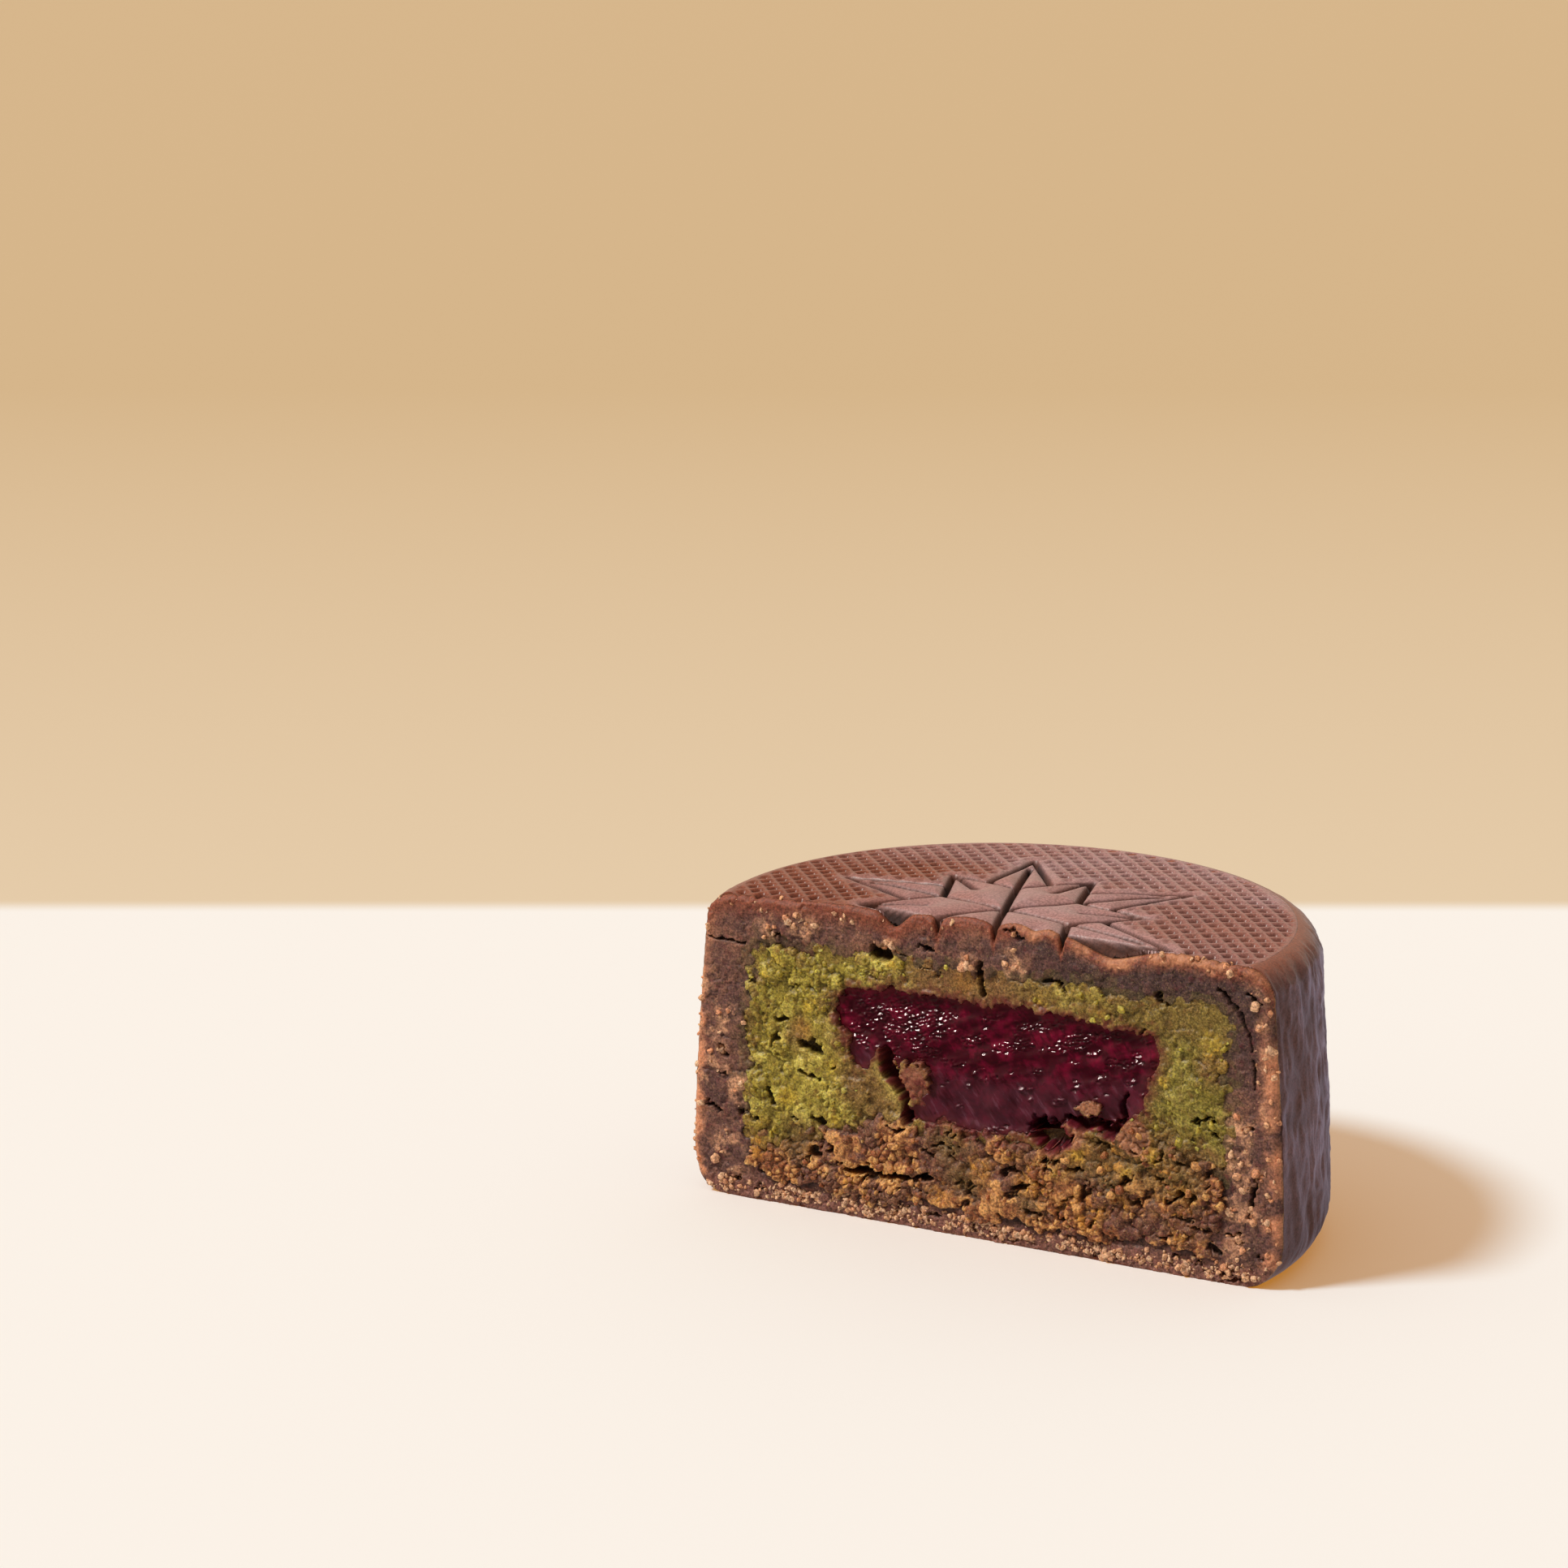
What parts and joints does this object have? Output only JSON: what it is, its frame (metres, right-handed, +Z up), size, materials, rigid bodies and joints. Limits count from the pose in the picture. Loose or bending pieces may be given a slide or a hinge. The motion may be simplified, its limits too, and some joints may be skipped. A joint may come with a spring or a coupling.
{
  "type": "mooncake",
  "caption": "A round mooncake cut through near its middle and lying on its base, with a patterned cocoa crust, pistachio paste, browned crumb and a jam core.",
  "frame": {"origin": "on the flat base, on the vertical axis of the round cake, 5.1 mm behind the plane of the cut", "axes": "+Z up out of the base, +X to the right along the cut, -Y out of the cut face"},
  "size_m": [0.0595, 0.0359, 0.0299],
  "materials": {
    "cocoa_crust": "baked, matte, with a faint satin sheen on the pressed skin",
    "pistachio_paste": "moist granular paste, matte with small glints",
    "browned_crumb": "coarse crumb, matte",
    "berry_jam": "glossy wet jam"
  },
  "bodies": {
    "root": {"crust": "cocoa_crust", "pistachio_paste": "pistachio_paste", "browned_crumb": "browned_crumb", "jam_core": "berry_jam"}
  },
  "joints": []
}
